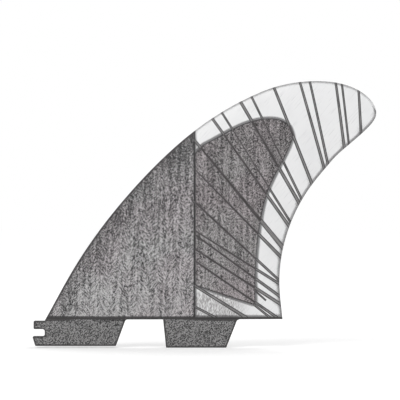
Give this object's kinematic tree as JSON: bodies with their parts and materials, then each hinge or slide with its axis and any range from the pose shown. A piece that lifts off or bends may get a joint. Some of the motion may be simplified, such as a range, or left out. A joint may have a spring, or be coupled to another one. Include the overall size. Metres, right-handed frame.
{
  "type": "surfboard fin",
  "caption": "Raked surfboard side fin with a foiled two-part blade, a fan of dark strands, and two tabs below, the front one forked.",
  "frame": {"origin": "on the underside of the base, in the plane of the board's surface, half way between the two tabs", "axes": "+Z away from the board to the tip, +X aft along the chord, +Y to the flat inner face and -Y to the domed outer face"},
  "size_m": [0.1608, 0.0067, 0.1248],
  "materials": {
    "carbon_laminate": "satin woven laminate",
    "panel_laminate": "satin woven laminate",
    "glass_laminate": "satin pale laminate",
    "strand": "satin fibre",
    "tab_composite": "fine-grained moulding"
  },
  "bodies": {
    "root": {"base": "tab_composite", "front_blade": "carbon_laminate", "rear_blade": "glass_laminate", "core_panel": "panel_laminate", "strand_01": "strand", "strand_02": "strand", "strand_03": "strand", "strand_04": "strand", "strand_05": "strand", "strand_06": "strand", "strand_07": "strand", "strand_08": "strand", "strand_09": "strand", "strand_10": "strand", "strand_11": "strand", "strand_12": "strand", "strand_13": "strand", "strand_14": "strand", "strand_15": "strand", "strand_16": "strand", "strand_17": "strand", "strand_18": "strand", "strand_19": "strand", "strand_20": "strand", "strand_21": "strand"}
  },
  "joints": []
}
